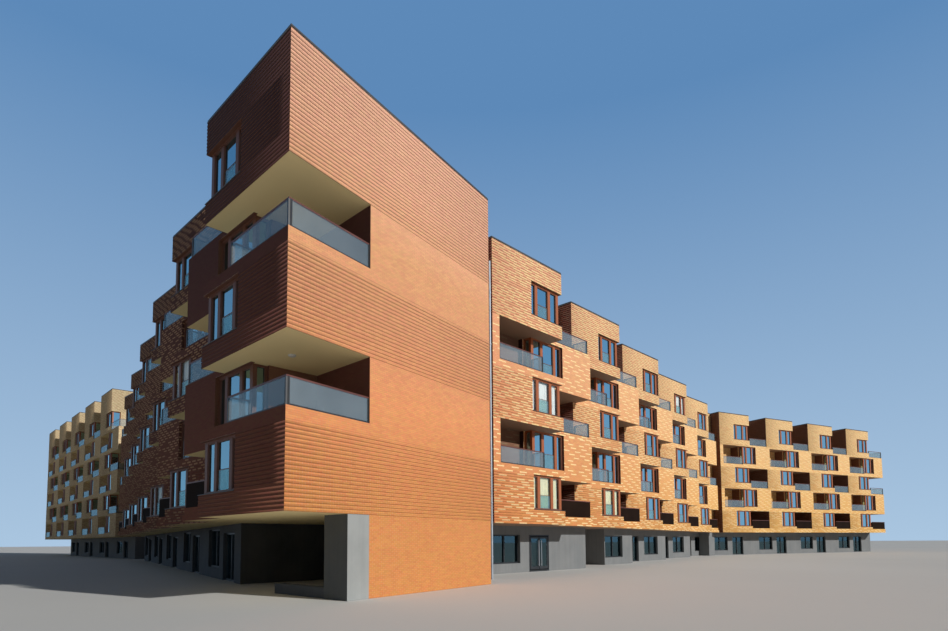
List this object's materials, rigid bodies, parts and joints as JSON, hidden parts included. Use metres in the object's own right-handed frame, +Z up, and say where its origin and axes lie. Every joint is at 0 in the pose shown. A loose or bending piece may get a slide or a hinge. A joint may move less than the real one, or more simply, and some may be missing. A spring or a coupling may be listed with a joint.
{
  "type": "stepped apartment block with four wings, 1:10 scale model",
  "caption": "Stepped brick apartment block, 1:10 scale model, with a sharp corner, loggias, terraces and a shop floor with a double entrance door.",
  "frame": {"origin": "middle of the grey corner pier's foot, at pavement level, under the sharp street corner", "axes": "+X along the right wing's bays, +Y along the left wing's bays, +Z up"},
  "size_m": [11.2618, 12.7093, 2.441],
  "materials": {
    "red_brick": "matt fired brick",
    "orange_brick": "matt fired brick",
    "yellow_brick": "matt fired brick",
    "grey_render": "smooth painted render",
    "soffit_plaster": "smooth plaster",
    "concrete": "plain",
    "dark_capping": "satin",
    "stained_timber": "stained, satin",
    "clear_glass": "clear, reflective",
    "rail_paint": "satin",
    "dark_panel": "satin",
    "dark_aluminium": "satin",
    "steel": "brushed",
    "zinc": "satin"
  },
  "bodies": {
    "building": {"ground_floor": "concrete", "left_ground_walls": "grey_render", "right_ground_walls": "grey_render", "far_ground_walls": "grey_render", "gable_base_wall": "red_brick", "grey_corner_pier": "grey_render", "plinth_ledge": "grey_render", "floor_1": "soffit_plaster", "floor_2": "soffit_plaster", "floor_3": "soffit_plaster", "floor_4": "soffit_plaster", "floor_5": "soffit_plaster", "floor_6": "soffit_plaster", "roof": "concrete", "left_walls_1": "red_brick", "left_walls_2": "red_brick", "left_walls_3": "red_brick", "left_walls_4": "red_brick", "left_walls_5": "red_brick", "right_walls_1": "orange_brick", "right_walls_2": "orange_brick", "right_walls_3": "orange_brick", "right_walls_4": "orange_brick", "right_walls_5": "orange_brick", "far_walls_1": "yellow_brick", "far_walls_2": "yellow_brick", "far_walls_3": "yellow_brick", "far_walls_4": "yellow_brick", "far_walls_5": "yellow_brick", "far_walls_6": "yellow_brick", "parapet_caps": "dark_capping", "window_frames_left": "stained_timber", "window_frames_right": "stained_timber", "window_frames_far": "stained_timber", "window_glass": "clear_glass", "rail_glass": "clear_glass", "rail_bars": "rail_paint", "terrace_panels": "dark_panel", "shop_frames": "dark_aluminium", "shop_glass": "clear_glass", "entrance_frame": "dark_aluminium", "downpipe": "zinc"},
    "door_left": {"entrance_leaf_left": "dark_aluminium", "pull_left": "steel"},
    "door_right": {"entrance_leaf_right": "dark_aluminium", "pull_right": "steel"}
  },
  "joints": [
    {"name": "door_left_hinge", "type": "hinge", "parent": "building", "child": "door_left", "pos_m": [1.9635, 0.69746, 0.1], "axis": [0, 0, -1], "range_deg": [0, 90]},
    {"name": "door_right_hinge", "type": "hinge", "parent": "building", "child": "door_right", "pos_m": [2.1545, 0.69746, 0.1], "axis": [0, 0, 1], "range_deg": [0, 90]}
  ]
}
